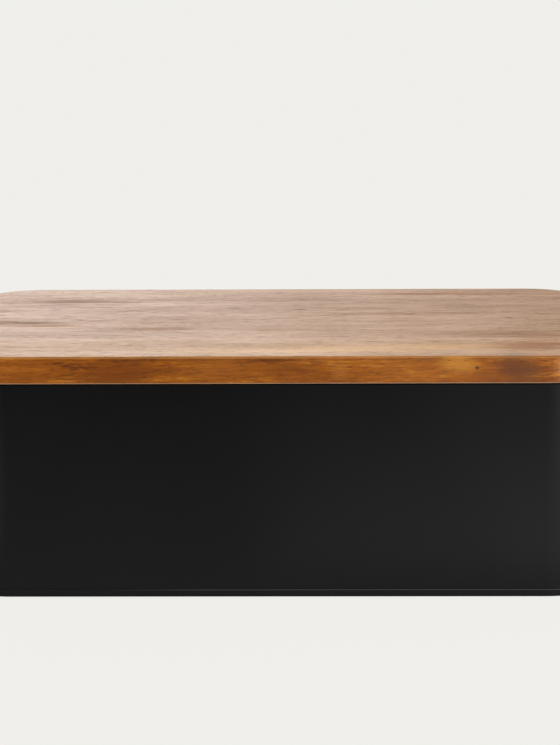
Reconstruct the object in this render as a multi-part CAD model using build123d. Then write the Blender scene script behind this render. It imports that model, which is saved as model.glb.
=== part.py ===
"""Bread box: a low steel box with a loose board lid of acacia.

Millimetres, +Z up. The origin is the middle of the footprint, on the surface that the feet
stand on. X runs along the length, and the front faces -Y.

The lid, the wall, its hem and the base pan all turn the same four corners. So each upright
section is drawn once, by its distance out from the corner axes and its height, and is
carried round the box.
"""

import os

from build123d import *

# Lid board, the largest outline of the box
lid_length = 340.0
lid_width = 210.0
lid_corner_radius = 33.0
lid_edge_thickness = 14.0
lid_top_easing = 1.5
lid_bottom_easing = 0.8

# Step milled under the lid, which drops inside the hem
step_depth = 4.0
step_play = 1.2
step_easing = 0.8

# Staves glued edge to edge into the board, with one glue joint placed and the rest a
# stave apart
stave_width = 68.0
stave_joint_y = 14.0
narrowest_stave = 12.0

# Steel sheet, and the wall bent from it
sheet = 0.6
wall_height = 111.0
lid_overhang = 1.0

# Hem: the top of the wall, folded inwards and down
hem_width = 3.0
hem_drop = 5.0
hem_bend = 1.0

# Lap where the two ends of the wall sheet meet, inside the back
lap_width = 9.0
lap_end_gap = 1.0

# Base pan: its edge turns down, under the wall and up outside it
crimp_gap = 0.05
seam_height = 3.8
seam_inside_bend = 0.25
panel_rise = 3.6
panel_bend = 1.5

# Raised field in the middle of the base panel
border_width = 12.0
field_slope = 3.0
field_rise = 1.2

# Soft feet, bonded under the raised field on the corner axes
foot_stand = 1.0
foot_top_diameter = 13.0
foot_tip_diameter = 11.0
foot_rounding = 1.0

# Corner axes
corner_x = lid_length / 2 - lid_corner_radius
corner_y = lid_width / 2 - lid_corner_radius

# Heights
seam_bottom = foot_stand
rim_top = seam_bottom + wall_height
border_level = seam_bottom + panel_rise
field_level = border_level + field_rise
wall_foot = seam_bottom + sheet + seam_inside_bend
hem_end = rim_top - hem_drop

# Distances out from the corner axes
wall_outside = lid_corner_radius - lid_overhang
wall_inside = wall_outside - sheet
hem_inside = wall_inside - hem_width
step_reach = hem_inside - step_play


def carry_round(section):
    """Carry an upright section round the four sides and corners of the box."""
    upright = Plane.XZ * section
    runs = []
    for quarter in range(4):
        across, along = (corner_x, corner_y) if quarter % 2 == 0 else (corner_y, corner_x)
        start = Rot(Z=90 * quarter) * Pos(across, along)
        runs.append(start * extrude(upright, 2 * along))
        runs.append(start * revolve(upright, Axis.Z, 90))
    return Part() + runs


def plate(reach, bottom, thickness):
    """Make a flat plate whose edge lies `reach` out from the corner axes."""
    outline = RectangleRounded(2 * (corner_x + reach), 2 * (corner_y + reach), reach)
    return Pos(Z=bottom) * extrude(outline, thickness)


def bent_sheet(points, bends):
    """Draw the section of a sheet that follows a bent middle line."""
    return trace(FilletPolyline(*points, radius=bends), sheet)


def make_body_wall():
    """Bend the wall, fold its hem inwards and lap its two ends at the back."""
    upright = wall_outside - sheet / 2
    folded = upright - hem_width
    fold_level = rim_top - sheet / 2
    line = [(upright, wall_foot), (upright, fold_level), (folded, fold_level), (folded, hem_end)]
    wall = carry_round(bent_sheet(line, [hem_bend, hem_bend]))

    lap_bottom = border_level + sheet + lap_end_gap
    lap_height = hem_end - lap_end_gap - lap_bottom
    lap = Box(lap_width, sheet, lap_height, align=(Align.CENTER, Align.MAX, Align.MIN))
    return wall + Pos(0, corner_y + wall_inside, lap_bottom) * lap


def make_base_pan():
    """Turn the pan's edge round the foot of the wall and raise the field of its panel."""
    flange = wall_outside + crimp_gap + sheet / 2
    leg = wall_inside - crimp_gap - sheet / 2
    border_end = leg - border_width
    field_start = border_end - field_slope
    field_join = field_start / 2

    seam_line = seam_bottom + sheet / 2
    border_line = border_level + sheet / 2
    field_line = field_level + sheet / 2
    line = [
        (flange, seam_bottom + seam_height),
        (flange, seam_line),
        (leg, seam_line),
        (leg, border_line),
        (border_end, border_line),
        (field_start, field_line),
        (field_join, field_line),
    ]
    seam_bend = seam_inside_bend + sheet / 2
    bends = [seam_bend, seam_bend, panel_bend, panel_bend, panel_bend]
    return carry_round(bent_sheet(line, bends)) + plate(field_join, field_level, sheet)


def make_lid_board():
    """Make the whole lid: the board with its eased edges and the step under it."""
    board = plate(lid_corner_radius, rim_top, lid_edge_thickness)
    board = fillet(board.edges().group_by(Axis.Z)[-1], lid_top_easing)
    board = fillet(board.edges().group_by(Axis.Z)[0], lid_bottom_easing)
    step = plate(step_reach, rim_top - step_depth, step_depth)
    step = fillet(step.edges().group_by(Axis.Z)[0], step_easing)
    return board + step


def stave_edges():
    """List where the staves start and end across the lid, front to back."""
    edge = lid_width / 2
    reach = int(lid_width / stave_width) + 1
    joints = [stave_joint_y + stave_width * n for n in range(-reach, reach + 1)]
    return [-edge, *(y for y in joints if abs(y) < edge - narrowest_stave), edge]


def cut_stave(board, front, back):
    """Cut the stave between two joints out of the lid board."""
    tall = 2 * (rim_top + lid_edge_thickness)
    slab = Box(lid_length, back - front, tall, align=(Align.CENTER, Align.MIN, Align.CENTER))
    return board & Pos(Y=front) * slab


def make_foot(x, y):
    """Make one soft foot, from the underside of the raised field down to the table."""
    blank = Cone(
        foot_tip_diameter / 2,
        foot_top_diameter / 2,
        field_level,
        align=(Align.CENTER, Align.CENTER, Align.MIN),
    )
    rounded = fillet(blank.edges().group_by(Axis.Z)[0], foot_rounding)
    return Pos(x, y) * rounded


def make_nodes():
    """Make every piece of the box, by the name of its node."""
    nodes = {"body_wall": make_body_wall(), "base_pan": make_base_pan()}
    board = make_lid_board()
    edges = stave_edges()
    for number, (front, back) in enumerate(zip(edges, edges[1:]), start=1):
        nodes[f"lid_stave_{number}"] = cut_stave(board, front, back)
    for row, y in (("front", -corner_y), ("back", corner_y)):
        for side, x in (("left", -corner_x), ("right", corner_x)):
            nodes[f"foot_{row}_{side}"] = make_foot(x, y)
    return nodes


os.makedirs("parts", exist_ok=True)
for name, shape in make_nodes().items():
    export_step(shape, f"parts/{name}.step")
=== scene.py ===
"""Looks of a bread box: a powder-coated steel box and the loose acacia board that closes it.

Metres, +Z up. X runs along the length, and the front faces -Y. Every piece is modelled round
the same four corner axes as the frame, in place, and rides on the box or on the lid.
"""

import logging
import math
from collections.abc import Callable, Iterable
from dataclasses import dataclass
from enum import Enum

import bmesh
import bpy
from mathutils import Matrix, Vector


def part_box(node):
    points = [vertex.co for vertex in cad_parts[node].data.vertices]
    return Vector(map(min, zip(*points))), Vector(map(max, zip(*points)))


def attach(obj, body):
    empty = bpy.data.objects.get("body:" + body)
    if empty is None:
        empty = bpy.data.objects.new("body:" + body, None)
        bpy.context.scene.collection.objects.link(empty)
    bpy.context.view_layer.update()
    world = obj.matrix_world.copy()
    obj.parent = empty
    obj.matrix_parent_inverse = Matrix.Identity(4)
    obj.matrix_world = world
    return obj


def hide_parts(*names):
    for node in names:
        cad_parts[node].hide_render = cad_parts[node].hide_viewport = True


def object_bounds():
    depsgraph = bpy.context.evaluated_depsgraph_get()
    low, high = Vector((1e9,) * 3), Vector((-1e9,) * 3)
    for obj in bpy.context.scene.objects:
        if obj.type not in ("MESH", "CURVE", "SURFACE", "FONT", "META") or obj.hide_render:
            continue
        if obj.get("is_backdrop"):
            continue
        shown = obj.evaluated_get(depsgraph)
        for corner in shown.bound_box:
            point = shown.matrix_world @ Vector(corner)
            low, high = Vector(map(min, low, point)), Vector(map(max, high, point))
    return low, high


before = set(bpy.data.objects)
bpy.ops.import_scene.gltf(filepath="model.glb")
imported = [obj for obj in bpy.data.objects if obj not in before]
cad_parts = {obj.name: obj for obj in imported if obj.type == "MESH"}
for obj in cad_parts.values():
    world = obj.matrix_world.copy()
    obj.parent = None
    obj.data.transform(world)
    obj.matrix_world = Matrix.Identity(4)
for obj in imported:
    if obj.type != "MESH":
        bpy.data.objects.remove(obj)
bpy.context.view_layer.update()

MM = 0.001
TO_MM = (1 / MM,) * 3

# Nearly all of a noise lies between the first two of these shades, and round the third
NOISE_LOW, NOISE_HIGH, NOISE_MIDDLE = 0.3, 0.7, 0.5

# A face looks straight along an axis if more of its normal than this lies along it
FLAT = 0.999

# The sharpest turn that is shaded smooth, and the setting that lets large faces lead there
SOFT_TURN = math.radians(40)
LARGE_FACES_LEAD = 100

# A section's line that goes inwards by less than this goes straight up or down
UPRIGHT = 1e-7

log = logging.getLogger("bread_box")

Point = tuple[float, float]
Place = tuple[float, float, float]
Rgba = tuple[float, float, float, float]
Piece = bpy.types.Object
Node = bpy.types.Node
Socket = bpy.types.NodeSocket
Feed = Node | Socket
Test = Callable[[bmesh.types.BMEdge | bmesh.types.BMFace], bool]


def linear(colour: str) -> Rgba:
    """Turn an sRGB hex colour into the linear values that a shader takes.

    Args:
        colour: The colour as six hex digits after a hash.

    Returns:
        Red, green, blue and an alpha of one.
    """
    parts = [int(colour[i:i + 2], 16) / 255 for i in (1, 3, 5)]
    red, green, blue = (c / 12.92 if c <= 0.04045 else ((c + 0.055) / 1.055) ** 2.4 for c in parts)
    return red, green, blue, 1.0


class Graph:
    """The node tree of one material or of the world, cleared and ready to fill."""

    def __init__(self, owner: bpy.types.ID) -> None:
        """Clear the owner's tree.

        Args:
            owner: The material or world that the tree belongs to.
        """
        owner.use_nodes = True
        self.owner = owner
        self.tree = owner.node_tree
        self.tree.nodes.clear()

    def add(self, kind: str, sockets: dict | tuple = (), **settings: object) -> Node:
        """Add one node.

        Args:
            kind: The node's type, without its Shader Node prefix.
            sockets: What the inputs hold, in their order or by name or number: a value, an
                output that feeds it, or a node whose first output does.
            settings: The node's own settings.

        Returns:
            The new node.
        """
        node = self.tree.nodes.new(f"ShaderNode{kind}")
        for name, value in settings.items():
            setattr(node, name, value)
        named = sockets.items() if isinstance(sockets, dict) else enumerate(sockets)
        for name, value in named:
            if isinstance(value, Node):
                value = value.outputs[0]
            if isinstance(value, Socket):
                self.tree.links.new(value, node.inputs[name])
            else:
                node.inputs[name].default_value = value
        return node

    def tint(self, colour: Feed | Rgba, share: Feed, most: float, tint: str) -> Socket:
        """Turn a colour towards a tint.

        Args:
            colour: The colour so far.
            share: Where the tint shows, from zero to one.
            most: How much of the tint shows where its share is one.
            tint: The tint.

        Returns:
            The tinted colour.
        """
        part = self.add("Math", (share, most), operation="MULTIPLY")
        mixed = self.add("Mix", {0: part, 6: colour, 7: linear(tint)}, data_type="RGBA")
        return mixed.outputs[2]

    def dress(self, piece: Piece, shader: Node) -> None:
        """Show the shader, and give a piece this material alone.

        Args:
            piece: The piece.
            shader: The material's last shader node.
        """
        self.add("OutputMaterial", (shader,))
        piece.data.materials.clear()
        piece.data.materials.append(self.owner)


def spread_stops(ramp: Node, stops: Iterable[tuple[float, str]]) -> None:
    """Give a colour ramp its stops.

    Args:
        ramp: The colour ramp node.
        stops: The place and colour of each stop, lowest first.
    """
    elements = ramp.color_ramp.elements
    while len(elements) > 1:
        elements.remove(elements[-1])
    for number, (place, colour) in enumerate(stops):
        stop = elements[0] if number == 0 else elements.new(place)
        stop.position = place
        stop.color = linear(colour)


@dataclass(frozen=True)
class Plan:
    """The four corner axes that every outline of the box turns about, and the lid's reach."""

    x: float
    y: float
    reach: float

    @classmethod
    def of_frame(cls) -> "Plan":
        """Read the corner axes from the feet, which stand on them.

        Returns:
            The plan of the whole box.
        """
        low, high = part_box("foot_back_right")
        middle = (low + high) / 2
        return cls(middle.x, middle.y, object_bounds()[1].x - middle.x)


def bent_line(points: list[Point], bends: list[float], steps: int) -> list[Point]:
    """Round the inner corners of an upright section's line.

    Args:
        points: The line's corners, as distance out from the corner axes and height.
        bends: The radius at each corner between the first and the last.
        steps: How many straight steps make each bend.

    Returns:
        The rounded line's points.
    """
    line = [points[0]]
    for before, corner, after, radius in zip(points, points[1:], points[2:], bends):
        here = Vector(corner)
        back = (Vector(before) - here).normalized()
        on = (Vector(after) - here).normalized()
        half = back.angle(on) / 2
        centre = here + (back + on).normalized() * radius / math.sin(half)
        start = here + back * radius / math.tan(half) - centre
        turn = start.angle_signed(here + on * radius / math.tan(half) - centre)
        for step in range(steps + 1):
            swung = start.copy()
            swung.rotate(Matrix.Rotation(-turn * step / steps, 2))
            line.append(tuple(centre + swung))
    return [*line, points[-1]]


class Kind(Enum):
    """What is picked in edit mode."""

    EDGE = "edges"
    FACE = "faces"


class End(Enum):
    """Which end of a block is worked, by the direction that it faces."""

    TOP = 1
    BOTTOM = -1


def pick(piece: Piece, kind: Kind, wanted: Test) -> None:
    """Select the edges or faces that pass a test, and nothing else.

    Args:
        piece: The piece, in edit mode.
        kind: What is selected.
        wanted: The test.
    """
    bpy.ops.mesh.select_mode(type=kind.name)
    bpy.ops.mesh.select_all(action="DESELECT")
    mesh = bmesh.from_edit_mesh(piece.data)
    for item in getattr(mesh, kind.value):
        item.select_set(wanted(item))
    bmesh.update_edit_mesh(piece.data)


def pick_end(piece: Piece, end: End) -> None:
    """Select the large flat face at one end of a piece.

    Args:
        piece: The piece, in edit mode.
        end: The end.
    """
    mesh = bmesh.from_edit_mesh(piece.data)
    facing = [face for face in mesh.faces if face.normal.z * end.value > FLAT]
    largest = max(facing, key=lambda face: face.calc_area()).index
    pick(piece, Kind.FACE, lambda face: face.index == largest)


def make_active(piece: Piece) -> None:
    """Select a piece alone and make it the active object.

    Args:
        piece: The piece.
    """
    bpy.ops.object.select_all(action="DESELECT")
    piece.select_set(True)
    bpy.context.view_layer.objects.active = piece


def run_modifier(piece: Piece, kind: str, **settings: object) -> None:
    """Add a modifier to a piece and apply it.

    Args:
        piece: The piece, which becomes the active object.
        kind: The modifier's type.
        settings: The modifier's settings.
    """
    make_active(piece)
    modifier = piece.modifiers.new(kind.title(), kind)
    for name, value in settings.items():
        setattr(modifier, name, value)
    bpy.ops.object.modifier_apply(modifier=modifier.name)


def smooth(piece: Piece) -> None:
    """Shade a piece smooth over its bends and flat over its flats.

    Args:
        piece: The piece.
    """
    make_active(piece)
    bpy.ops.object.shade_smooth_by_angle(angle=SOFT_TURN)
    run_modifier(piece, "WEIGHTED_NORMAL", keep_sharp=True, weight=LARGE_FACES_LEAD)


def settle(piece: Piece, body: str, slot: str, *nodes: str) -> None:
    """Hand a finished piece to the frame.

    Args:
        piece: The finished piece.
        body: The body that it rides on.
        slot: The record's material slot of its finish; not used.
        nodes: The frame's nodes that it stands for.
    """
    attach(piece, body)
    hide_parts(*nodes)
    log.info("%s rides on %s: %d faces", piece.name, body, len(piece.data.polygons))


class Block:
    """A mesh whose every level follows the rounded plan of the box.

    It starts as an upright block, and its top or bottom is then carried inwards and along by
    insets and extrusions, so that each level keeps the same corner axes.
    """

    def __init__(self, name: str, plan: Plan, reach: float, low: float, high: float, steps: int) -> None:
        """Make the upright block.

        Args:
            name: The piece's name.
            plan: The corner axes.
            reach: How far out from the corner axes the sides lie.
            low: The height of the bottom.
            high: The height of the top.
            steps: The flats in each upright corner.
        """
        bpy.ops.object.select_all(action="DESELECT")
        bpy.ops.mesh.primitive_cube_add(size=1, location=(0, 0, (low + high) / 2))
        self.piece = bpy.context.object
        self.piece.name = self.piece.data.name = name
        self.piece.scale = (2 * (plan.x + reach), 2 * (plan.y + reach), high - low)
        bpy.ops.object.transform_apply()
        bpy.ops.object.mode_set(mode="EDIT")
        half = (high - low) / 2
        pick(self.piece, Kind.EDGE, lambda edge: abs(edge.verts[0].co.z - edge.verts[1].co.z) > half)
        bpy.ops.mesh.bevel(offset=reach, segments=steps)

    def carry(self, end: End, line: list[Point]) -> None:
        """Carry one end of the block along a section's line.

        Args:
            end: The end that is carried.
            line: The line's points, starting at the end's own edge.
        """
        pick_end(self.piece, end)
        for (reach, height), (next_reach, next_height) in zip(line, line[1:]):
            inward, rise = reach - next_reach, next_height - height
            if inward > UPRIGHT:
                bpy.ops.mesh.inset(thickness=inward, depth=rise * end.value, use_even_offset=True)
            else:
                bpy.ops.mesh.extrude_region_move(TRANSFORM_OT_translate={"value": (0, 0, rise)})

    def open_end(self, end: End) -> None:
        """Delete the large flat face at one end, which leaves a shell that is open there.

        Args:
            end: The end.
        """
        pick_end(self.piece, end)
        bpy.ops.mesh.delete(type="ONLY_FACE")

    def leave(self) -> Piece:
        """Leave edit mode and return the piece."""
        bpy.ops.object.mode_set(mode="OBJECT")
        return self.piece


@dataclass(frozen=True)
class PowderCoat:
    """Black polyester powder coat, sprayed and baked on steel.

    It gives the eye a dull black with a soft sheen and a fine orange peel. It is greyer where
    hands have rubbed it. Lower down it is painted lighter, a painted reflection, and along part
    of the sheet's lowest cut edge that faces up it carries a painted highlight.
    """

    # Glossy polyester has an IOR of 1.5, and a matte coat gives back much less
    colour: str = "#070708"
    ior: float = 1.13
    roughness: float = 0.34

    # Clouds, rubbed greyer between these shades of theirs, and duller or sleeker
    cloud_mm: float = 60.0
    cloud_rough: float = 0.03
    rubbed: str = "#0e0e0f"
    rubbed_share: float = 0.3
    rubbed_span: Point = (0.35, 0.7)

    # Painted light, lighter towards the foot: none from the first height up and most from the second down
    dust_and_painted_light: str = "#222223"
    dust_and_painted_light_share: float = 0.55
    painted_light_heights: Point = (115.0 * MM, 8.0 * MM)

    # A painted highlight on the edge that faces up below this height: the least of it left of this
    # stretch along x, and all of it right of the stretch
    painted_edge_light: str = "#47474a"
    highlight_top: float = 4.95 * MM
    highlight_stretch: Point = (-95.0 * MM, -30.0 * MM)
    highlight_least: float = 0.1
    highlight_tilt: Point = (0.1, 0.5)

    # Orange peel, and the powder's grit, which is near 0.1 mm on a real coat and is drawn
    # coarser so that it shows
    peel_mm: float = 0.9
    peel_height: float = 0.05 * MM
    peel_strength: float = 0.15
    grit_mm: float = 0.35
    grit_rough: float = 0.04

    def dress(self, piece: Piece) -> None:
        """Give a piece this finish.

        Args:
            piece: The piece.
        """
        graph = Graph(bpy.data.materials.new("black_powder_coat"))
        place = graph.add("TexCoord")
        spot = graph.add("Mapping", {"Vector": place.outputs["Object"], "Scale": TO_MM})
        cloud, peel, grit = (
            graph.add("TexNoise", {"Vector": spot, "Scale": 1 / size, "Detail": detail})
            for size, detail in ((self.cloud_mm, 3.0), (self.peel_mm, 1.0), (self.grit_mm, 0.0))
        )
        rubbing = graph.add("MapRange", (cloud, *self.rubbed_span))
        colour = graph.tint(linear(self.colour), rubbing, self.rubbed_share, self.rubbed)
        where, facing = (graph.add("SeparateXYZ", (place.outputs[name],)) for name in ("Object", "Normal"))
        # Painted light: the coat is painted lighter towards the foot
        painted_light_low = graph.add("MapRange", (where.outputs["Z"], *self.painted_light_heights))
        colour = graph.tint(colour, painted_light_low, self.dust_and_painted_light_share, self.dust_and_painted_light)
        # A painted highlight along the low cut edge that faces up
        colour = graph.tint(colour, self.find_painted_highlight(graph, where, facing), 1.0, self.painted_edge_light)

        rough = self.roughness
        for noise, most in ((grit, self.grit_rough), (cloud, self.cloud_rough)):
            swing = graph.add("MapRange", (noise, NOISE_LOW, NOISE_HIGH, -most, most))
            rough = graph.add("Math", (swing, rough), operation="ADD")
        bump = graph.add(
            "Bump", {"Height": peel, "Strength": self.peel_strength, "Distance": self.peel_height}
        )
        shader = graph.add(
            "BsdfPrincipled", {"Base Color": colour, "Roughness": rough, "Normal": bump, "IOR": self.ior}
        )
        graph.dress(piece, shader)

    def find_painted_highlight(self, graph: Graph, where: Node, facing: Node) -> Node:
        """Find where a highlight is painted: on the low cut edge that faces up, away from one end.

        Args:
            graph: The material's graph.
            where: The parts of the place on the piece.
            facing: The parts of the surface's normal.

        Returns:
            One where the highlight is painted, and zero elsewhere.
        """
        painted_upward_light = graph.add("MapRange", (facing.outputs["Z"], *self.highlight_tilt))
        low = graph.add("Math", (where.outputs["Z"], self.highlight_top), operation="LESS_THAN")
        edge = graph.add("Math", (painted_upward_light, low), operation="MULTIPLY")
        painted_highlight_mask = graph.add(
            "MapRange",
            (where.outputs["X"], *self.highlight_stretch, self.highlight_least, 1.0),
            interpolation_type="SMOOTHSTEP",
        )
        return graph.add("Math", (edge, painted_highlight_mask), operation="MULTIPLY")


@dataclass(frozen=True)
class FootRubber:
    """Moulded thermoplastic rubber.

    It gives the eye a dark grey with no gloss, dusty where it has stood on a worktop.
    """

    colour: str = "#2a2a2b"
    roughness: float = 0.72

    # Dust, in blotches between these shades of theirs, and the relief that holds it
    dust_and_painted_light: str = "#4a4845"
    dust_mm: float = 2.5
    dust_and_painted_light_share: float = 0.5
    dust_span: Point = (0.45, 0.75)
    relief_height: float = 0.05 * MM
    relief_strength: float = 0.2

    def dress(self, piece: Piece) -> None:
        """Give a piece this finish.

        Args:
            piece: The piece.
        """
        graph = Graph(bpy.data.materials.new("foot_rubber"))
        place = graph.add("TexCoord")
        spot = graph.add("Mapping", {"Vector": place.outputs["Object"], "Scale": TO_MM})
        blotch = graph.add("TexNoise", {"Vector": spot, "Scale": 1 / self.dust_mm, "Detail": 4.0})
        share = graph.add("MapRange", (blotch, *self.dust_span))
        colour = graph.tint(linear(self.colour), share, self.dust_and_painted_light_share, self.dust_and_painted_light)
        bump = graph.add(
            "Bump", {"Height": blotch, "Strength": self.relief_strength, "Distance": self.relief_height}
        )
        shader = graph.add(
            "BsdfPrincipled", {"Base Color": colour, "Roughness": self.roughness, "Normal": bump}
        )
        graph.dress(piece, shader)


@dataclass(frozen=True)
class Layer:
    """One layer of the wood's figure: noise that is drawn out along the grain.

    Attributes:
        size: How long, wide and deep its patches are, in millimetres.
        detail: How much finer detail it holds.
        weight: How strongly it shades the wood.
    """

    size: Place
    detail: float
    weight: float

    def lay(self, graph: Graph, place: Node) -> Node:
        """Add the layer's noise.

        Args:
            graph: The material's graph.
            place: The place in the wood, in millimetres.

        Returns:
            The noise.
        """
        drawn = graph.add("VectorMath", (place, self.size), operation="DIVIDE")
        return graph.add("TexNoise", {"Vector": drawn, "Scale": 1.0, "Detail": self.detail})


@dataclass(frozen=True)
class Flaw:
    """A place where the wood is darker or paler than round it.

    Attributes:
        centre: Its middle in the row frame, in millimetres.
        reach: How far it reaches along x, y and z, in millimetres.
        colour: The colour that it turns the wood to.
        share: How much of that colour shows at its middle.
        dull: How much rougher the wood is at its middle.
        ragged: Whether the streaks of the wood break up its outline.
    """

    centre: Place
    reach: Place
    colour: str
    share: float
    dull: float = 0.0
    ragged: bool = False


@dataclass(frozen=True)
class StaveWood:
    """What sets one stave's wood apart from its neighbours'.

    Attributes:
        shift: Where the stave was sawn from the log, in millimetres.
        pith: How far behind and below the stave's middle the heart of the log lies.
        lean: How far the grain leans off the stave's length, in degrees.
        tone: How much darker, below zero, or paler, above it, the stave is.
        painted_top_sheen: How far its top is painted paler, a painted sheen, from zero to one.
        flaws: The streaks and patches in it.
    """

    shift: float
    pith: Point
    lean: float
    tone: float
    painted_top_sheen: float
    flaws: tuple[Flaw, ...] = ()


STAVE_WOODS = (
    StaveWood(
        shift=0, pith=(20, 60), lean=0.8, tone=0.0, painted_top_sheen=0.5,
        flaws=(
            Flaw((-80, -105, 115), (28, 8, 11), "#6a340a", 0.7),
            Flaw((-128, -105, 119), (30, 8, 14), "#8a4a10", 0.4),
            Flaw((-34, -105, 118), (30, 8, 14), "#a86420", 0.35),
            *(Flaw((-110 + 4 * n, -105, 123 - 1.7 * n), (4, 3, 0.9), "#4a2008", 0.7) for n in range(3)),
            Flaw((0, -105, 124), (16, 4, 1.3), "#572607", 0.7),
            Flaw((10, -105, 119), (20, 4, 1.1), "#572607", 0.6),
            Flaw((10, -105, 117), (26, 8, 14), "#6e3a0c", 0.4),
            Flaw((32, -105, 118), (6, 4, 8), "#a86c2a", 0.35),
            Flaw((75, -105, 118), (45, 6, 20), "#b4702a", 0.2),
            Flaw((93, -105, 122), (14, 6, 7), "#c98a34", 0.5),
            Flaw((101, -105, 120), (1.6, 3, 1.2), "#43200c", 0.9),
            Flaw((104, -105, 114), (12, 5, 4), "#7c4214", 0.6),
            Flaw((122, -105, 119), (19, 14, 13), "#5e3419", 0.85),
            Flaw((60, -82, 127), (110, 22, 5), "#e8ac66", 0.55, ragged=True),
            Flaw((-10, -89, 127), (100, 13, 5), "#eeb973", 0.55, ragged=True),
            Flaw((134, -76, 126), (42, 20, 7), "#8d5630", 0.65, dull=0.16, ragged=True),
            # A painted highlight where the front face turns into the right-hand corner
            Flaw((151, -102, 118), (14, 9, 12), "#d59a58", 0.45),
        ),
    ),
    StaveWood(
        shift=410, pith=(-30, 45), lean=-0.6, tone=-0.02, painted_top_sheen=0.36,
        flaws=(
            Flaw((-158, -4, 126), (44, 9, 6), "#6c4a3e", 0.6, dull=0.2, ragged=True),
            Flaw((-128, -14, 126), (36, 7, 6), "#83502c", 0.3, dull=0.12, ragged=True),
            Flaw((-60, -24, 126), (30, 6, 6), "#83502c", 0.3, dull=0.1, ragged=True),
            Flaw((128, -46, 126), (50, 14, 8), "#8f5830", 0.35, dull=0.08, ragged=True),
        ),
    ),
    StaveWood(
        shift=930, pith=(15, 70), lean=0.5, tone=-0.01, painted_top_sheen=0.32,
        flaws=(
            Flaw((-112, 60, 126), (50, 9, 6), "#6c4a3e", 0.45, dull=0.15, ragged=True),
            Flaw((80, 20, 126), (60, 6, 6), "#855029", 0.3, dull=0.12, ragged=True),
        ),
    ),
    StaveWood(
        shift=1370, pith=(40, 30), lean=-0.4, tone=0.02, painted_top_sheen=0.36,
        flaws=(Flaw((95, 86, 126), (70, 7, 6), "#855029", 0.3, dull=0.12, ragged=True),),
    ),
)


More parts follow.
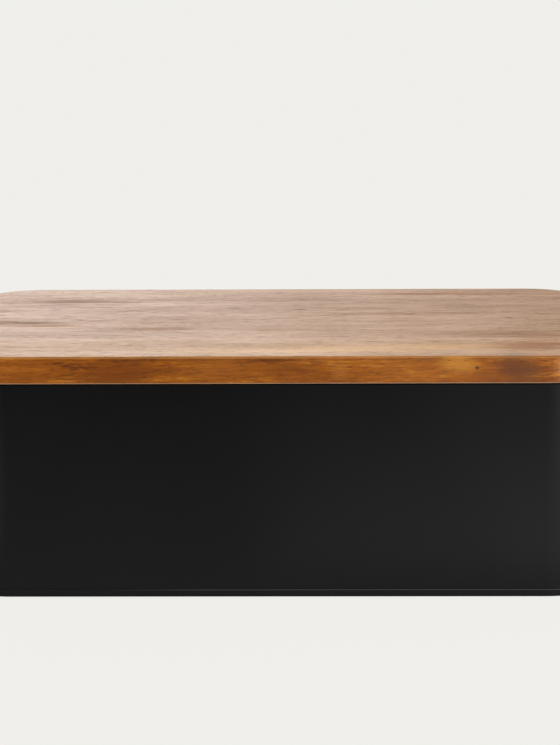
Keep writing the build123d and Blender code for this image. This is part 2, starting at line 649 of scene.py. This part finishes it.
@dataclass(frozen=True)
class OiledAcacia:
    """Solid acacia, sanded and oiled.

    It gives the eye a warm orange brown with short streaks along the grain, dark pores,
    wavering bands of growth, a darker heart and a satin sheen that goes pale at a glancing
    angle. Its top is painted paler, a painted sheen, and its eased edges carry painted highlights.
    """

    # Varnish has an IOR of 1.5, and oil that has soaked in gives back less
    ior: float = 1.2
    roughness: float = 0.28
    shade_rough: float = 0.06

    # The wood's colours, each with the shade at which it is full
    dark: str = "#572806"
    shades: tuple[tuple[float, str], ...] = (
        (0.2, dark), (0.45, "#824508"), (0.6, "#96520e"), (0.9, "#c07f2a")
    )

    # Bands of growth, and the layers that shade the wood between them. Fibres and specks are
    # drawn as bundles, since real ones are finer than a hair and wouldn't show
    ring_mm: float = 6.0
    ring_detail: float = 3.0
    ring_contrast: float = 0.6
    ring_weight: float = 0.35
    drift: Layer = Layer((150.0, 30.0, 30.0), 2.0, 0.45)
    streaks: Layer = Layer((30.0, 2.4, 1.8), 4.0, 0.62)
    fibres: Layer = Layer((9.0, 0.8, 0.8), 2.0, 0.55)
    mottle: Layer = Layer((60.0, 9.0, 6.0), 3.0, 0.65)
    specks: Layer = Layer((3.0, 0.6, 0.6), 1.0, 0.4)

    # How far the drift swings the grain off its line
    waver_mm: float = 3.5

    # Dark dashes, between these shades of theirs
    dashes: Layer = Layer((9.0, 1.0, 0.8), 2.0, 0.7)
    dash_span: Point = (0.56, 0.68)
    dash_rough: float = 0.12

    # Pores, one to a cell, with their edge between these shares of it. They are about twice as
    # wide as real ones so that they show, and between these shades of the streaks they fade
    pore: str = "#361604"
    pore_mm: Place = (8.0, 1.2, 1.2)
    pore_edge: Point = (0.11, 0.22)
    pore_streaks: Point = (0.4, 0.65)
    pore_least: float = 0.2
    pore_share: float = 0.75
    pore_rough: float = 0.25

    # Relief, in which a pore is this much deeper than a fibre is high
    pore_depth: float = 1.2
    relief_height: float = 0.06 * MM
    relief_strength: float = 0.25

    # How far the grain moves a flaw and the streaks break it up, and how much of its reach
    # shows in full
    flaw_wander: float = 1.2
    flaw_ragged: float = 2.0
    flaw_heart: float = 0.2

    # Painted sheen on the top, painted highlights on the eased edges, and darker end grain,
    # which start and are full at these parts of the normal along an axis
    painted_sheen: str = "#d8a05c"
    painted_edge_light: str = "#c9a585"
    top_tilt: Point = (0.9, 0.98)
    end_tilt: Point = (0.5, 0.95)
    end_share: float = 0.35
    eased_tilt: Point = (0.15, 0.6)
    flat_tilt: Point = (0.9, 0.99)
    top_edge_share: float = 0.25
    bottom_edge_share: float = 0.75

    def dress(self, piece: Piece, middle: Vector, wood: StaveWood) -> None:
        """Give a stave this finish.

        Args:
            piece: The stave.
            middle: The stave's middle.
            wood: What is this stave's own.
        """
        graph = Graph(bpy.data.materials.new(f"oiled_acacia_{piece.name}"))
        place = graph.add("TexCoord")
        lean = math.radians(wood.lean)
        sawn = graph.add(
            "Mapping",
            {
                "Vector": place.outputs["Object"],
                "Location": (wood.shift, -middle.y / MM, -middle.z / MM),
                "Rotation": (0, lean / 2, lean),
                "Scale": TO_MM,
            },
        )
        drift = self.drift.lay(graph, sawn)
        swing = graph.add(
            "VectorMath", (drift.outputs["Color"], (NOISE_MIDDLE,) * 3), operation="SUBTRACT"
        )
        waver = (0, self.waver_mm, self.waver_mm)
        grain = graph.add("VectorMath", (swing, waver, sawn), operation="MULTIPLY_ADD")

        layers = (self.streaks, self.fibres, self.mottle, self.specks)
        noises = [layer.lay(graph, grain) for layer in layers]
        streaks, fibres = noises[:2]
        weighed = [(drift, self.drift.weight), (self.find_rings(graph, grain, wood), self.ring_weight)]
        weighed += [(noise, layer.weight) for noise, layer in zip(noises, layers)]
        shade = wood.tone + NOISE_MIDDLE * (1 - sum(weight for _, weight in weighed))
        for noise, weight in weighed:
            shade = graph.add("Math", (noise, weight, shade), operation="MULTIPLY_ADD")
        colour = graph.add("ValToRGB", (shade,))
        spread_stops(colour, self.shades)
        dull, sleek = self.roughness + self.shade_rough, self.roughness - self.shade_rough
        rough = graph.add("MapRange", (shade, NOISE_LOW, NOISE_HIGH, dull, sleek))

        facing = graph.add("SeparateXYZ", (place.outputs["Normal"],))
        # The top is painted paler: a painted sheen
        painted_upward_light = graph.add("MapRange", (facing.outputs["Z"], *self.top_tilt))
        colour = graph.tint(colour, painted_upward_light, wood.painted_top_sheen, self.painted_sheen)
        dashed = graph.add("MapRange", (self.dashes.lay(graph, grain), *self.dash_span))
        colour = graph.tint(colour, dashed, self.dashes.weight, self.dark)
        rough = graph.add("Math", (dashed, self.dash_rough, rough), operation="MULTIPLY_ADD")
        here = graph.add("Mapping", {"Vector": place.outputs["Object"], "Scale": TO_MM})
        for flaw in wood.flaws:
            share = self.find_flaw(graph, here, swing, streaks, flaw)
            colour = graph.tint(colour, share, flaw.share, flaw.colour)
            rough = graph.add("Math", (share, flaw.dull, rough), operation="MULTIPLY_ADD")
        sunk = self.find_pores(graph, grain, streaks)
        colour = graph.tint(colour, sunk, self.pore_share, self.pore)
        colour = self.end_grain_and_edge_highlights(graph, facing, colour)
        rough = graph.add("Math", (sunk, self.pore_rough, rough), operation="MULTIPLY_ADD")

        relief = graph.add("Math", (sunk, -self.pore_depth, fibres), operation="MULTIPLY_ADD")
        bump = graph.add(
            "Bump", {"Height": relief, "Strength": self.relief_strength, "Distance": self.relief_height}
        )
        shader = graph.add(
            "BsdfPrincipled", {"Base Color": colour, "Roughness": rough, "Normal": bump, "IOR": self.ior}
        )
        graph.dress(piece, shader)

    def find_rings(self, graph: Graph, grain: Node, wood: StaveWood) -> Node:
        """Add the bands of growth, which lie round the heart of the log.

        Args:
            graph: The material's graph.
            grain: The place in the wood, in millimetres.
            wood: What is this stave's own.

        Returns:
            The bands' noise.
        """
        across = graph.add("VectorMath", (grain, (0, 1, 1), (0, *wood.pith)), operation="MULTIPLY_ADD")
        radius = graph.add("VectorMath", (across,), operation="LENGTH")
        sockets = {
            "W": radius.outputs["Value"],
            "Scale": 1 / self.ring_mm,
            "Detail": self.ring_detail,
            "Roughness": self.ring_contrast,
        }
        return graph.add("TexNoise", sockets, noise_dimensions="1D")

    def find_pores(self, graph: Graph, grain: Node, streaks: Node) -> Node:
        """Add the open pores, which lie thickest in the darker streaks.

        Args:
            graph: The material's graph.
            grain: The place in the wood, in millimetres.
            streaks: The noise of the streaks.

        Returns:
            How deep each pore is sunk, from zero to one.
        """
        packed = graph.add("VectorMath", (grain, self.pore_mm), operation="DIVIDE")
        cells = graph.add("TexVoronoi", {"Vector": packed, "Scale": 1.0})
        pores = graph.add("MapRange", (cells, *self.pore_edge, 1.0, 0.0))
        some = graph.add("MapRange", (streaks, *self.pore_streaks, 1.0, self.pore_least))
        return graph.add("Math", (pores, some), operation="MULTIPLY")

    def end_grain_and_edge_highlights(self, graph: Graph, facing: Node, colour: Socket) -> Socket:
        """Darken the end grain, and paint highlights on the eased edges.

        Args:
            graph: The material's graph.
            facing: The parts of the surface's normal.
            colour: The colour so far.

        Returns:
            The colour with darker end grain and painted edge highlights.
        """
        along = graph.add("Math", (facing.outputs["X"],), operation="ABSOLUTE")
        end = graph.add("MapRange", (along, *self.end_tilt))
        colour = graph.tint(colour, end, self.end_share, self.dark)
        # The top edge carries a painted highlight and the bottom edge a painted reflection
        top = (End.TOP, self.top_edge_share, self.painted_sheen)
        bottom = (End.BOTTOM, self.bottom_edge_share, self.painted_edge_light)
        for side, share, tint in (top, bottom):
            tilt = graph.add("Math", (facing.outputs["Z"], side.value), operation="MULTIPLY")
            eased = graph.add("MapRange", (tilt, *self.eased_tilt), interpolation_type="SMOOTHSTEP")
            flat = graph.add("MapRange", (tilt, *self.flat_tilt, 1.0, 0.0))
            painted_highlight_mask = graph.add("Math", (eased, flat), operation="MULTIPLY")
            colour = graph.tint(colour, painted_highlight_mask, share, tint)
        return colour

    def find_flaw(self, graph: Graph, here: Node, swing: Node, streaks: Node, flaw: Flaw) -> Node:
        """Find how much of one flaw shows at each place.

        Args:
            graph: The material's graph.
            here: The place in millimetres.
            swing: How far the grain swings there, as a share.
            streaks: The noise of the streaks.
            flaw: The streak or patch.

        Returns:
            One at the flaw's middle, and zero outside it.
        """
        wander = tuple(reach * self.flaw_wander for reach in flaw.reach)
        moved = graph.add("VectorMath", (swing, wander, here), operation="MULTIPLY_ADD")
        off = graph.add("VectorMath", (moved, flaw.centre), operation="SUBTRACT")
        scaled = graph.add("VectorMath", (off, flaw.reach), operation="DIVIDE")
        distance = graph.add("VectorMath", (scaled,), operation="LENGTH").outputs["Value"]
        ragged = self.flaw_ragged if flaw.ragged else 0.0
        broken = graph.add("Math", (streaks, ragged, distance), operation="MULTIPLY_ADD")
        spread = NOISE_MIDDLE * ragged
        return graph.add(
            "MapRange", (broken, 1.0 + spread, self.flaw_heart + spread), interpolation_type="SMOOTHSTEP"
        )


@dataclass
class SteelBox:
    """The coated steel box: its wall, its base pan and its feet.

    Each bend is the radius along the middle of the sheet.
    """

    plan: Plan
    coat: PowderCoat = PowderCoat()
    rubber: FootRubber = FootRubber()
    body: str = "box"
    sheet: float = 0.6 * MM

    # Hem: the wall's rim, folded inwards and down
    hem_width: float = 3.0 * MM
    hem_drop: float = 5.0 * MM
    hem_bend: float = 1.0 * MM

    # Lap of the wall's two ends, clear of the hem and the pan, and the line where one stops
    lap_width: float = 9.0 * MM
    lap_gap: float = 1.0 * MM
    groove_width: float = 0.8 * MM
    groove_depth: float = 0.2 * MM

    # Seam: the pan's edge, turned round the foot of the wall and just off it
    crimp_gap: float = 0.05 * MM
    seam_height: float = 3.8 * MM
    seam_bend: float = 0.55 * MM

    # Panel of the pan: a flat border, and a slope up to a raised field
    panel_bend: float = 1.5 * MM
    border_width: float = 12.0 * MM
    field_slope: float = 3.0 * MM
    field_rise: float = 1.2 * MM

    # Rounding of the sheet's cut edges, which are those that turn further than this
    cut_edge: float = 0.28 * MM
    cut_turn: float = math.radians(60)

    # Feet, whose tips are rounded and have a hollow with a ring round it
    foot_tip: float = 11.0 * MM
    foot_rounding: float = 1.0 * MM
    recess_edge: float = 1.6 * MM
    recess_depth: float = 0.4 * MM

    # Flats in an upright corner, a bend and a cut edge, round a foot and in its rounding
    corner_steps: int = 28
    bend_steps: int = 6
    cut_steps: int = 3
    foot_sides: int = 48
    foot_steps: int = 4

    def build(self) -> None:
        """Build every piece of the box."""
        self.build_wall()
        self.build_pan()
        for node in ("foot_front_left", "foot_front_right", "foot_back_left", "foot_back_right"):
            self.build_foot(node)

    def finish_sheet(self, shell: Piece) -> None:
        """Give a shell the sheet's thickness, half on each side, and round its cut edges.

        Args:
            shell: The shell, which lies along the middle of the sheet.
        """
        run_modifier(shell, "SOLIDIFY", thickness=self.sheet, offset=0.0, use_even_offset=True)
        cut = {"limit_method": "ANGLE", "angle_limit": self.cut_turn}
        run_modifier(shell, "BEVEL", width=self.cut_edge, segments=self.cut_steps, **cut)

    def build_wall(self) -> None:
        """Raise the wall, fold its hem inwards and down, and lap its two ends at the back."""
        low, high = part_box("body_wall")
        upright = high.x - self.plan.x - self.sheet / 2
        folded = upright - self.hem_width
        fold = high.z - self.sheet / 2
        hem_end = high.z - self.hem_drop
        line = bent_line(
            [(upright, low.z), (upright, fold), (folded, fold), (folded, hem_end)],
            [self.hem_bend] * 2,
            self.bend_steps,
        )
        block = Block("wall", self.plan, upright, low.z, line[1][1], self.corner_steps)
        block.carry(End.TOP, line[1:])
        block.open_end(End.TOP)
        block.open_end(End.BOTTOM)
        self.press_groove(block.piece)
        wall = block.leave()
        self.finish_sheet(wall)

        lap = self.build_lap(self.plan.y + upright - self.sheet / 2, hem_end - self.lap_gap)
        make_active(wall)
        lap.select_set(True)
        bpy.ops.object.join()
        smooth(wall)
        self.coat.dress(wall)
        settle(wall, self.body, "powder_coat", "body_wall")

    def press_groove(self, shell: Piece) -> None:
        """Press the line down the back where the wall's outer end stops.

        Args:
            shell: The wall, in edit mode and still without thickness.
        """
        for side in (-0.5, 0.0, 0.5):
            pick(shell, Kind.FACE, lambda face: face.normal.y > FLAT)
            bpy.ops.mesh.bisect(plane_co=(side * self.groove_width, 0, 0), plane_no=(1, 0, 0))
        near = self.groove_width / 4
        pick(
            shell,
            Kind.EDGE,
            lambda edge: all(abs(vert.co.x) < near and vert.co.y > self.plan.y for vert in edge.verts),
        )
        bpy.ops.transform.translate(value=(0, -self.groove_depth, 0))

    def build_lap(self, back: float, top: float) -> Piece:
        """Make the strip where the wall's inner end lies behind its outer one.

        Args:
            back: How far back the wall's inner face lies.
            top: The height of the strip's top.

        Returns:
            The strip.
        """
        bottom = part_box("base_pan")[1].z - self.field_rise + self.lap_gap
        bpy.ops.object.select_all(action="DESELECT")
        bpy.ops.mesh.primitive_cube_add(size=1, location=(0, back - self.sheet / 2, (bottom + top) / 2))
        lap = bpy.context.object
        lap.scale = (self.lap_width, self.sheet, top - bottom)
        bpy.ops.object.transform_apply()
        run_modifier(lap, "BEVEL", width=self.cut_edge / 2, segments=self.cut_steps)
        return lap

    def build_pan(self) -> None:
        """Turn the pan's edge round the foot of the wall and raise its field."""
        low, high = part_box("base_pan")
        flange = high.x - self.plan.x - self.sheet / 2
        leg = flange - 2 * (self.sheet + self.crimp_gap)
        top = high.z - self.sheet / 2
        rim = low.z + self.seam_height
        seam_line = low.z + self.sheet / 2
        border = leg - self.border_width
        slope_end = border - self.field_slope
        line = bent_line(
            [
                (flange, rim),
                (flange, seam_line),
                (leg, seam_line),
                (leg, top - self.field_rise),
                (border, top - self.field_rise),
                (slope_end, top),
                (slope_end / 2, top),
            ],
            [self.seam_bend] * 2 + [self.panel_bend] * 3,
            self.bend_steps,
        )
        block = Block("pan", self.plan, flange, line[1][1], rim, self.corner_steps)
        block.open_end(End.TOP)
        block.carry(End.BOTTOM, line[1:])
        pan = block.leave()
        self.finish_sheet(pan)
        smooth(pan)
        self.coat.dress(pan)
        settle(pan, self.body, "powder_coat", "base_pan")

    def build_foot(self, node: str) -> None:
        """Model one soft foot in its place.

        Args:
            node: The frame's node that it stands for.
        """
        low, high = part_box(node)
        bpy.ops.object.select_all(action="DESELECT")
        bpy.ops.mesh.primitive_cone_add(
            vertices=self.foot_sides,
            radius1=self.foot_tip / 2,
            radius2=(high.x - low.x) / 2,
            depth=high.z - low.z,
            location=(low + high) / 2,
        )
        foot = bpy.context.object
        foot.name = foot.data.name = node.replace("foot", "pad")
        bpy.ops.object.transform_apply()
        run_modifier(
            foot, "BEVEL", width=self.foot_rounding, segments=self.foot_steps, limit_method="ANGLE"
        )
        bpy.ops.object.mode_set(mode="EDIT")
        pick_end(foot, End.BOTTOM)
        bpy.ops.mesh.inset(thickness=self.recess_edge)
        bpy.ops.mesh.inset(thickness=self.recess_depth, depth=-self.recess_depth)
        bpy.ops.object.mode_set(mode="OBJECT")
        smooth(foot)
        self.rubber.dress(foot)
        settle(foot, self.body, "foot_rubber", node)


@dataclass
class BoardLid:
    """The loose lid: a board of acacia staves with a step milled under it.

    Attributes:
        plan: The corner axes.
        wood: The staves' finish.
        own: What is each stave's own, front to back.
        body: The body that all of it rides on.
        top_easing: How far the board's top edge is rounded.
        bottom_easing: How far its bottom edge is rounded.
        step_corner: How far the corner between the board and its step is rounded.
        step_easing: How far the step's edge is rounded.
        step_inset: How far inside the board's edge the step stands.
        corner_steps: The flats in each upright corner.
        easing_steps: The flats in each rounding.
    """

    plan: Plan
    wood: OiledAcacia = OiledAcacia()
    own: tuple[StaveWood, ...] = STAVE_WOODS
    body: str = "lid"
    top_easing: float = 1.5 * MM
    bottom_easing: float = 0.8 * MM
    step_corner: float = 0.1 * MM
    step_easing: float = 0.8 * MM
    step_inset: float = 5.8 * MM
    corner_steps: int = 28
    easing_steps: int = 6

    def build(self) -> None:
        """Build the board and cut its staves."""
        board = self.build_board()
        names = sorted(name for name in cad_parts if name.startswith("lid_stave"))
        for name, wood in zip(names, self.own, strict=True):
            self.cut_stave(board, name, wood)
        bpy.data.objects.remove(board)

    def build_board(self) -> Piece:
        """Make the whole board, with eased edges and the step under it.

        Returns:
            The board, still in one piece.
        """
        low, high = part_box("lid_stave_2")
        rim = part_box("body_wall")[1].z
        reach = self.plan.reach
        step = reach - self.step_inset
        over = [(reach, rim), (reach, high.z), (0, high.z)]
        under = [(reach, high.z), (reach, rim), (step, rim), (step, low.z), (0, low.z)]
        under_bends = [self.bottom_easing, self.step_corner, self.step_easing]
        over_line = bent_line(over, [self.top_easing], self.easing_steps)
        under_line = bent_line(under, under_bends, self.easing_steps)
        block = Block("board", self.plan, reach, under_line[1][1], over_line[1][1], self.corner_steps)
        block.carry(End.TOP, over_line[1:-1])
        block.carry(End.BOTTOM, under_line[1:-1])
        return block.leave()

    def cut_stave(self, board: Piece, node: str, wood: StaveWood) -> None:
        """Cut one stave out of a copy of the board.

        Args:
            board: The whole board.
            node: The frame's node that the stave stands for.
            wood: What is this stave's own.
        """
        low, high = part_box(node)
        make_active(board)
        bpy.ops.object.duplicate()
        stave = bpy.context.object
        stave.name = stave.data.name = node.replace("lid_", "")
        bpy.ops.object.mode_set(mode="EDIT")
        for side, level in ((-1, low.y), (1, high.y)):
            if abs(level) < self.plan.y + self.plan.reach - MM:
                bpy.ops.mesh.select_all(action="SELECT")
                bpy.ops.mesh.bisect(
                    plane_co=(0, level, 0), plane_no=(0, side, 0), use_fill=True, clear_outer=True
                )
        bpy.ops.object.mode_set(mode="OBJECT")
        smooth(stave)
        self.wood.dress(stave, (low + high) / 2, wood)
        settle(stave, self.body, "acacia", node)


@dataclass(frozen=True)
class SoftLamp:
    """One soft lamp, or a card that only shows in reflections.

    Attributes:
        name: Its name.
        place: Where it hangs.
        target: What it is turned to.
        size: Its width and height.
        power: Its power in watts.
        card: Whether it only shows in reflections, as a white card does.
    """

    name: str
    place: Place
    target: Place
    size: Point
    power: float
    card: bool = True

    def hang(self) -> None:
        """Hang the lamp, out of the camera's sight."""
        bpy.ops.object.light_add(type="AREA", location=self.place)
        lamp = bpy.context.object
        lamp.name = self.name
        lamp.data.shape = "RECTANGLE"
        lamp.data.size, lamp.data.size_y = self.size
        lamp.data.energy = self.power
        turn = Vector(self.target) - Vector(self.place)
        lamp.rotation_euler = turn.to_track_quat("-Z", "Y").to_euler()
        lamp.visible_camera = False
        lamp.visible_diffuse = not self.card


@dataclass
class Studio:
    """The pale floor, the soft light and the camera.

    Attributes:
        pale: The colour of the floor and the room.
        floor_size: The floor's width.
        floor_shown: How much of its own colour the floor shows, over its light and shadow.
        room_light: How strongly the room lights the object.
        sun: The broad light's strength.
        sun_place: Where the broad light comes from.
        sun_angle: How broad it is, in degrees.
        lamps: The soft box and the cards that stand in front.
        pane: The width and height of each pane of the window behind.
        pane_first: The middle of its leftmost pane.
        panes: The power of each pane, from the left.
        low_cards: The middle, width and power of each card that lies in front of the box.
        low_card_span: Where these cards start and end along y.
        low_card_lift: How far off the floor they lie.
        picture_px: The photograph's longer side in pixels.
        focal_px: The camera's focal length in those pixels.
        sensor: The camera's sensor in millimetres.
        eye: Where the camera stands.
        down: How far it looks down, in degrees.
        left: How far it looks left, in degrees.
        roll: How far it is rolled, in degrees.
    """

    pale: str = "#f1f0ec"
    floor_size: float = 60.0
    floor_shown: float = 0.94
    room_light: float = 0.5
    sun: float = 1.35
    sun_place: Place = (0.3, -0.95, 1.0)
    sun_angle: float = 20.0
    lamps: tuple[SoftLamp, ...] = (
        SoftLamp("right_box", (0.5, -0.75, 0.3), (0.05, -0.1, 0.1), (0.5, 0.3), 1.2, card=False),
        SoftLamp("front_card", (0.28, -0.75, 0.1), (0.0, -0.1, 0.06), (0.5, 0.19), 0.9),
        SoftLamp("right_card", (0.46, -0.51, 0.1), (0.15, -0.1, 0.06), (0.34, 0.19), 1.6),
    )
    pane: Point = (0.12, 0.7)
    pane_first: Place = (-0.45, 1.5, 0.5)
    panes: tuple[float, ...] = (0.31, 0.31, 0.28, 0.22, 0.14, 0.08, 0.03)
    low_cards: tuple[Place, ...] = ((-0.27, 0.14, 0.5), (0.06, 0.12, 0.2), (0.24, 0.24, 0.75))
    low_card_span: Point = (-0.485, -0.165)
    low_card_lift: float = 0.5 * MM
    picture_px: float = 745.0
    focal_px: float = 2920.0
    sensor: float = 36.0
    eye: Place = (0.0302, -1.5478, 0.3978)
    down: float = 10.977
    left: float = 1.126
    roll: float = -0.356

    def build(self) -> None:
        """Build the floor, the world, the lamps and the camera."""
        self.build_world()
        self.build_floor()
        self.build_sun()
        for lamp in self.list_lamps():
            lamp.hang()
        self.build_camera()
        bpy.context.scene.view_settings.view_transform = "Standard"

    def list_lamps(self) -> list[SoftLamp]:
        """Add the cards that lie in front of the box and the window behind it to the lamps.

        Returns:
            All the lamps.
        """
        lamps = list(self.lamps)
        front, back = self.low_card_span
        y = (front + back) / 2
        for number, (x, width, power) in enumerate(self.low_cards):
            place, above = (x, y, self.low_card_lift), (x, y, 1.0)
            lamps.append(SoftLamp(f"low_card_{number}", place, above, (width, back - front), power))
        first, y, z = self.pane_first
        for number, power in enumerate(self.panes):
            x = first + self.pane[0] * number
            lamps.append(SoftLamp(f"window_{number}", (x, y, z), (x, 0.0, z), self.pane, power))
        return lamps

    def seen(self, graph: Graph) -> Node:
        """Tell the rays that show the background from those that carry light.

        Args:
            graph: The graph of the floor or of the world.

        Returns:
            One on camera, glossy and transmission rays, and zero on the rest.
        """
        path = graph.add("LightPath").outputs
        first = graph.add("Math", (path["Is Camera Ray"], path["Is Glossy Ray"]), operation="MAXIMUM")
        return graph.add("Math", (first, path["Is Transmission Ray"]), operation="MAXIMUM")

    def build_world(self) -> None:
        """Light the room evenly, and show the pale background where it is seen."""
        world = bpy.data.worlds.new("studio")
        bpy.context.scene.world = world
        graph = Graph(world)
        light = graph.add("Background", ((1, 1, 1, 1), self.room_light))
        shown = graph.add("Background", (linear(self.pale), 1.0))
        mixed = graph.add("MixShader", (self.seen(graph), light, shown))
        graph.add("OutputWorld", (mixed,))

    def build_floor(self) -> None:
        """Lay the pale floor that the box stands on. It is clear from beneath."""
        bpy.ops.object.select_all(action="DESELECT")
        bpy.ops.mesh.primitive_plane_add(size=self.floor_size, location=(0, 0, 0))
        floor = bpy.context.object
        floor.name = "floor"
        graph = Graph(bpy.data.materials.new("pale_floor"))
        lit = graph.add("BsdfDiffuse", (linear(self.pale),))
        shown = graph.add("Emission", (linear(self.pale), 1.0))
        share = graph.add("Math", (self.seen(graph), self.floor_shown), operation="MULTIPLY")
        top = graph.add("MixShader", (share, lit, shown))
        clear = graph.add("BsdfTransparent")
        beneath = graph.add("NewGeometry").outputs["Backfacing"]
        graph.dress(floor, graph.add("MixShader", (beneath, top, clear)))
        floor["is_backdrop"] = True

    def build_sun(self) -> None:
        """Hang the broad light that comes evenly from the front and above."""
        bpy.ops.object.light_add(type="SUN", location=self.sun_place)
        sun = bpy.context.object
        sun.name = "broad_light"
        sun.data.energy = self.sun
        sun.data.angle = math.radians(self.sun_angle)
        sun.rotation_euler = (-Vector(self.sun_place)).to_track_quat("-Z", "Y").to_euler()

    def build_camera(self) -> None:
        """Set up the camera at the photograph's place and angle."""
        down, left, roll = (math.radians(angle) for angle in (self.down, self.left, self.roll))
        right = Vector((math.cos(left), math.sin(left), 0))
        level = Vector((-math.sin(left), math.cos(left), 0))
        ahead = level * math.cos(down) - Vector((0, 0, math.sin(down)))
        up = right.cross(ahead)
        rolled_right = right * math.cos(roll) + up * math.sin(roll)
        rolled_up = up * math.cos(roll) - right * math.sin(roll)
        turn = Matrix((rolled_right, rolled_up, -ahead)).transposed().to_4x4()
        data = bpy.data.cameras.new("camera")
        data.sensor_width = self.sensor
        data.lens = self.sensor * self.focal_px / self.picture_px
        camera = bpy.data.objects.new("camera", data)
        bpy.context.scene.collection.objects.link(camera)
        camera.matrix_world = Matrix.Translation(self.eye) @ turn
        bpy.context.scene.camera = camera


def main() -> None:
    """Build the box, its lid and the studio round them."""
    logging.basicConfig(level=logging.INFO, format="%(name)s: %(message)s")
    plan = Plan.of_frame()
    SteelBox(plan).build()
    BoardLid(plan).build()
    Studio().build()


if __name__ == "__main__":
    main()
